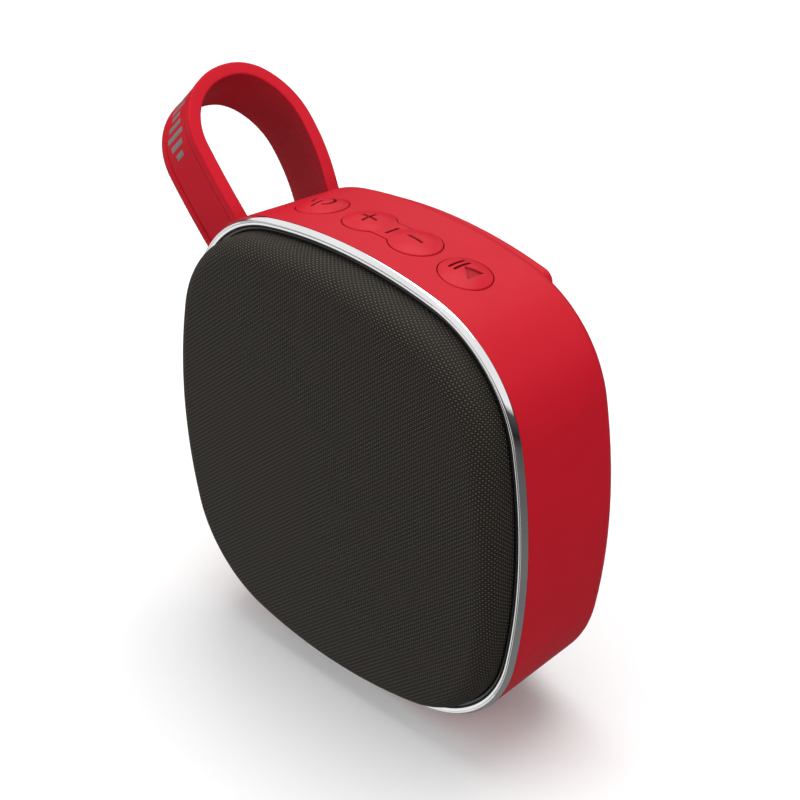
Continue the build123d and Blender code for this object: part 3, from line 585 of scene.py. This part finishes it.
def wrist_strap():
    path, tangents = strap_path()
    section = strap_section()
    run = np.concatenate([[0], np.cumsum(np.linalg.norm(np.diff(path, axis=0), axis=1))])
    rows = [strap_place(path, tangents, across, outward) for across, outward in section]
    points = np.stack(rows, 1).reshape(-1, 3)
    inner = (section[:, 1] < -1.25).astype(float)
    marks = np.array([(s, x, f) for s in run for (x, _), f in zip(section, inner)])
    faces = grid_faces(len(path), len(section), False, True)
    size = len(section)
    faces += [tuple(range(size)), tuple(range((len(path) - 1) * size, len(path) * size))]
    obj = make_object("wrist_strap", points, faces)
    set_attribute(obj, "strap", marks)
    return obj, path, tangents, run


strap, strap_line, strap_tangents, strap_run = wrist_strap()
finish_piece(strap, "red_silicone", None, ["strap", "strap_ends"])


def strap_bars():
    """Raised grey level bars on the strap's outer panel, in place of any lettering."""
    points, faces = [], []
    for k, length in enumerate(BAR_LENGTHS):
        centre = BAR_START + BAR_PITCH * k
        first = len(points)
        across_steps = np.linspace(-length / 2, length / 2, 9) + BAR_SHIFT
        along_steps = (centre - BAR_HALF, centre - BAR_FLAT, centre, centre + BAR_FLAT, centre + BAR_HALF)
        tips = along_steps[0], along_steps[-1]
        sides = across_steps[0], across_steps[-1]
        for level in (BAR_FOOT, BAR_TOP):
            for s in along_steps:
                place = np.array([[np.interp(s, strap_run, strap_line[:, i]) for i in (0, 1)]])
                heading = np.array([[np.interp(s, strap_run, strap_tangents[:, i]) for i in (0, 1)]])
                for x in across_steps:
                    drop = BAR_EDGE if level == BAR_TOP and (s in tips or x in sides) else 0.0
                    points.extend(strap_place(place, heading, x, level - drop))
        rows, columns = len(along_steps), len(across_steps)
        sheet = rows * columns
        faces += grid_faces(rows, columns, first=first) + grid_faces(rows, columns, first=first + sheet)
        rim = list(range(columns)) + [r * columns + columns - 1 for r in range(1, rows)]
        rim += [(rows - 1) * columns + c for c in range(columns - 2, -1, -1)]
        rim += [r * columns for r in range(rows - 2, 0, -1)]
        for a, b in zip(rim, rim[1:] + rim[:1]):
            faces.append((first + a, first + b, first + sheet + b, first + sheet + a))
    return make_object("strap_bars", points, faces)


bars = strap_bars()
bar_ink = surface("bar_ink", (0.20, 0.17, 0.17), 0.6, specular=0.3, bump=0.01, drift=0.2)
bars.data.materials.append(bar_ink.material)


for piece in (strap, bars):
    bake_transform(piece)

# Keys ------------------------------------------------------------------------------------------

KEY_R, KEY_CROWN, KEY_DEPTH = 4.88, 1.1, 10.1
ROCKER_LOBE, ROCKER_NECK = 5.8, 3.2
MARK_DEPTH, STROKE_HALF = 0.36, 0.24


def top_frame(arc):
    """Origin and axes of the plane on the housing's top, arc mm along it: right, back, outward."""
    turn = arc * MM / TOP_R
    inset = KEY_DEPTH * MM * math.tan(DRAFT)
    x = (TOP_R - inset) * math.sin(turn)
    z = HALF_HEIGHT - TOP_R + (TOP_R - inset) * math.cos(turn)
    outward = Vector((math.sin(turn) * math.cos(DRAFT), math.sin(DRAFT), math.cos(turn) * math.cos(DRAFT)))
    right = Vector((math.cos(turn), 0, -math.sin(turn)))
    return Vector((x, FRONT_Y + KEY_DEPTH * MM, MIDDLE_Z + z)), right, outward.cross(right), outward


def stroke(x, y, a, b, half):
    """How deep inside a round-ended stroke from a to b each point is, from 0 to 1."""
    a, b = np.array(a), np.array(b)
    along = b - a
    t = np.clip(((x - a[0]) * along[0] + (y - a[1]) * along[1]) / max(along @ along, 1e-9), 0, 1)
    away = np.hypot(x - a[0] - t * along[0], y - a[1] - t * along[1])
    return np.clip((half + 0.05 - away) / 0.1, 0, 1)


def power_marks(x, y):
    """Depth and painted shade of the power sign at each point, from 0 to 1."""
    x, y = x - 0.15, y - 0.35
    angle = np.arctan2(x, -y)
    away = np.abs(np.hypot(x, y) - 2.05)
    ring = np.clip((STROKE_HALF + 0.05 - away) / 0.1, 0, 1) * (np.abs(angle) > math.radians(36))
    made = np.maximum(ring, stroke(x, y, (0, -2.95), (0, -0.2), STROKE_HALF))
    return made, made


def rocker_marks(x, y):
    made = np.zeros_like(x)
    for a, b in (
        ((-7.15, -0.35), (-3.9, -0.35)), ((-5.5, -2.0), (-5.5, 1.3)),
        ((4.35, -0.35), (7.55, -0.35)), ((-0.05, -1.45), (-0.05, 1.5)),
    ):
        made = np.maximum(made, stroke(x, y, a, b, STROKE_HALF))
    return made, made


def play_marks(x, y):
    y = y - 0.2
    bar, second = (stroke(x, y, (at, -1.85), (at, 1.85), STROKE_HALF) for at in (-2.45, -1.2))
    made = np.maximum(bar, second)
    # The triangle points to -X: inside all three of its sides.
    slope = 1.95 / 2.9
    sides = np.minimum.reduce([2.2 - x, slope * (x + 0.7) - y, slope * (x + 0.7) + y])
    pocket = np.clip((sides + 0.05) / 0.1, 0, 1)
    # painted shade: the pocket's rim is painted dark like a shadowed wall, its floor only faintly
    pocket_shade = 1 - 0.72 * np.clip((sides - 0.1) / 0.25, 0, 1)  # the pocket's floor is lighter than its rim
    return np.maximum(made, pocket), np.maximum(made, pocket * pocket_shade)


def round_border(count):
    """Upper half of a round key's outline from right to left, with outward normals."""
    angles = np.linspace(0, math.pi, count)
    normals = np.stack([np.cos(angles), np.sin(angles)], -1)
    return normals * KEY_R, normals


def rocker_border(count):
    """Upper half of the rocker's outline from right to left, with outward normals."""
    fillet = 1.0
    reach = KEY_R + fillet
    waist = ROCKER_LOBE - math.sqrt(reach**2 - (ROCKER_NECK + fillet) ** 2)
    # Direction of the fillet's centre from the lobe's.
    meet = math.atan2(ROCKER_NECK + fillet, waist - ROCKER_LOBE)
    lobe = [((ROCKER_LOBE, 0.0), KEY_R, 0.0, meet, 1.0)]
    bend = [((waist, ROCKER_NECK + fillet), fillet, meet + math.pi, 1.5 * math.pi, -1.0)]
    points, normals = [], []
    for centre, radius, start, stop, facing in lobe + bend:
        for a in np.linspace(start, stop, max(8, int(radius * abs(stop - start) / 0.02))):
            points.append((centre[0] + radius * math.cos(a), centre[1] + radius * math.sin(a)))
            normals.append((facing * math.cos(a), facing * math.sin(a)))
    for x in np.arange(waist, 0, -0.02):
        points.append((x, ROCKER_NECK))
        normals.append((0.0, 1.0))
    points += [(-x, y) for x, y in reversed(points)]
    normals += [(-x, y) for x, y in reversed(normals)]
    points, normals = np.array(points), np.array(normals)
    run = np.concatenate([[0], np.cumsum(np.linalg.norm(np.diff(points, axis=0), axis=1))])
    wanted = np.linspace(0, run[-1], count)
    return tuple(
        np.stack([np.interp(wanted, run, values[:, i]) for i in (0, 1)], -1) for values in (points, normals)
    )


def key_crown(x, y):
    """Height of a round key's dome above its border."""
    radius = arc_radius(KEY_R, KEY_CROWN)
    return KEY_CROWN - radius + np.sqrt(radius**2 - x**2 - y**2)


def rocker_crown(x, y):
    """A dome over each lobe, square to the housing's curved top there, melting into a level waist."""
    radius = arc_radius(KEY_R, KEY_CROWN)
    origin, right, back, outward = top_frame(0.0)
    height = 0.12 - x**2 * MM / (2 * TOP_R)
    for arc in (-ROCKER_LOBE, ROCKER_LOBE):
        lobe, _, _, facing = top_frame(arc)
        middle = (lobe - origin) / MM + facing * (KEY_CROWN - radius)
        cx, cy, cz = middle.dot(right), middle.dot(back), middle.dot(outward)
        dome = cz + np.sqrt(np.maximum(1.0, radius**2 - (x - cx) ** 2 - (y - cy) ** 2))
        melt = 0.5
        share = np.clip(0.5 + 0.5 * (dome - height) / melt, 0, 1)
        height = height * (1 - share) + dome * share + melt * share * (1 - share) * 0.5
    return height


def key_cap(name, arc, border, crown, marks, columns, rows):
    """A domed cap over the border, with engraved marks, a rounded edge and a skirt down into its hole."""
    origin, right, back, outward = top_frame(arc)
    edge, normals = border(columns)
    roll = 0.16

    def world(x, y, z):
        axes = (np.array(right), np.array(back), np.array(outward))
        offset = x[..., None] * axes[0] + y[..., None] * axes[1] + z[..., None] * axes[2]
        return np.array(origin) + offset * MM

    upper = edge - normals * roll
    spread = np.sin(np.linspace(-math.pi / 2, math.pi / 2, rows)) * 0.35 + np.linspace(-1, 1, rows) * 0.65
    x = np.repeat(upper[:, :1], rows, 1)
    y = upper[:, 1:] * spread
    # each point's depth, and its painted shade for the key material
    depth, groove_shade = marks(x, y)
    rim = np.minimum(1, (1 - np.abs(spread)) * 1e6)
    z = crown(x, y) - MARK_DEPTH * depth * rim
    points = list(world(x, y, z).reshape(-1, 3))
    faces = grid_faces(columns, rows)
    mark = list(zip(depth.ravel(), groove_shade.ravel()))
    # Border loop, right to left along the back and home along the front.
    loop = [c * rows + rows - 1 for c in range(columns)] + [c * rows for c in range(columns - 2, 0, -1)]
    full_edge = np.concatenate([edge, edge[-2:0:-1] * (1, -1)])
    full_normal = np.concatenate([normals, normals[-2:0:-1] * (1, -1)])
    top = crown(*(full_edge - full_normal * roll).T)
    previous = loop
    steps = [(roll * (1 - math.sin(a)), roll * (1 - math.cos(a))) for a in np.radians([30, 60, 90])]
    steps += [(0.0, 1.2), (0.0, 3.3)]
    for inset, drop in steps:
        ring = full_edge - full_normal * inset
        first = len(points)
        points.extend(world(ring[:, 0], ring[:, 1], top - drop))
        mark.extend([(0.0, 0.0)] * len(ring))
        here = list(range(first, first + len(ring)))
        around = zip(previous, previous[1:] + previous[:1], here, here[1:] + here[:1])
        faces += [(a, b, d, c) for a, b, c, d in around]
        previous = here
    faces.append(tuple(previous))
    obj = make_object(name, points, faces, 60.0)
    set_attribute(obj, "mark", np.column_stack([mark, np.zeros(len(mark))]))
    return obj


keys = (
    ("power_cap", "power_key", -18.4, round_border, key_crown, power_marks, 200, 130),
    ("volume_cap", "volume_rocker", 0.0, rocker_border, rocker_crown, rocker_marks, 330, 120),
    ("play_cap", "play_key", 18.2, round_border, key_crown, play_marks, 200, 130),
)
for name, body, arc, border, crown, marks, columns, rows in keys:
    cap = key_cap(name, arc, border, crown, marks, columns, rows)
    finish_piece(cap, "red_key", body, [body])

# Floor, light and camera -----------------------------------------------------------------------

scene = bpy.context.scene
scene.view_settings.view_transform = "Standard"

bpy.ops.mesh.primitive_grid_add(x_subdivisions=8, y_subdivisions=8, size=16.0, location=(0, 0, 0))
floor = bpy.context.object
floor.name = "floor"
paper = surface(
    "floor_paper", (0.95, 0.95, 0.95), 0.8, specular=0.05, grain=4.0, bump=0.0, patch=90.0, drift=0.01
)
floor.data.materials.append(paper.material)
# Neither mirrored in the chrome nor lighting the body.
floor.visible_glossy = floor.visible_diffuse = False


def studio_world():
    """Bright above, dark at the horizon, grey below, and a white card low in front on the left."""
    world = bpy.data.worlds.new("studio")
    world.use_nodes = True
    g = Nodes(world.node_tree)
    direction = g.node("ShaderNodeTexCoord").outputs["Generated"]
    height = g.span(g.node("ShaderNodeSeparateXYZ", {0: direction}).outputs["Z"], 0, 1, -1)
    ramp = g.node("ShaderNodeValToRGB", {0: height})
    stops = ramp.color_ramp.elements
    stops[0].position, stops[0].color = 0.0, (0.22, 0.22, 0.22, 1)
    stops[1].position, stops[1].color = 1.0, (1, 1, 1, 1)
    for position, shade in ((0.35, 0.12), (0.47, 0.02), (0.60, 0.08), (0.65, 1.0)):
        stop = stops.new(position)
        stop.color = (shade, shade, shade, 1)
    towards = {0: direction, 1: (-0.62, -0.60, -0.50)}
    facing = g.node("ShaderNodeVectorMath", towards, operation="DOT_PRODUCT")
    card = g.span(facing.outputs["Value"], 0, 1, 0.70, 0.74)
    sky = g.tree.nodes["Background"]
    g.put(sky.inputs["Color"], g.mix(1.0, ramp.outputs[0], card, "LIGHTEN"))
    # Mirrored at full strength, and weaker as a fill light, so that the shadow on the floor stays.
    bounce = g.node("ShaderNodeLightPath").outputs["Is Diffuse Ray"]
    g.put(sky.inputs["Strength"], g.span(bounce, 0.95, 0.45))
    return world


scene.world = studio_world()


def softbox(name, place, target, size, power, mirrored=True):
    lamp = bpy.data.lights.new(name, "AREA")
    lamp.shape, lamp.size, lamp.size_y, lamp.energy = "RECTANGLE", size[0], size[1], power
    obj = bpy.data.objects.new(name, lamp)
    scene.collection.objects.link(obj)
    obj.location = place
    obj.rotation_mode = "QUATERNION"
    obj.rotation_quaternion = (Vector(target) - Vector(place)).to_track_quat("-Z", "Y")
    obj.visible_glossy = mirrored


aim = (0.0, 0.0, 0.05)
softbox("top_light", (-0.12, 0.20, 1.0), aim, (0.8, 0.8), 8.0)
softbox("left_light", (-0.85, -0.75, 0.6), aim, (0.6, 0.9), 3.4, mirrored=False)
softbox("right_light", (0.95, -0.25, 0.12), aim, (0.5, 0.5), 6.8, mirrored=False)
softbox("front_light", (-0.20, -1.1, 0.35), aim, (0.8, 0.5), 3.0, mirrored=False)

AZIMUTH, ELEVATION, ROLL = math.radians(45.77), math.radians(31.06), math.radians(0.22)
DISTANCE, FOCAL_MM = 0.4032, 103.86
TARGET = Vector((0.01245, FRONT_Y, MIDDLE_Z + 0.01972))
flat = math.cos(ELEVATION)
back = Vector((math.sin(AZIMUTH) * flat, -math.cos(AZIMUTH) * flat, math.sin(ELEVATION)))
right = Vector((math.cos(AZIMUTH), math.sin(AZIMUTH), 0))
up = back.cross(right)
camera_x = right * math.cos(ROLL) + up * math.sin(ROLL)
camera_y = up * math.cos(ROLL) - right * math.sin(ROLL)
lens = bpy.data.cameras.new("camera")
lens.sensor_width, lens.lens = 36.0, FOCAL_MM
lens.clip_start, lens.clip_end = 0.01, 20.0
camera = bpy.data.objects.new("camera", lens)
scene.collection.objects.link(camera)
camera.matrix_world = Matrix(
    [(camera_x[i], camera_y[i], back[i], (TARGET + back * DISTANCE)[i]) for i in range(3)] + [(0, 0, 0, 1)]
)
scene.camera = camera
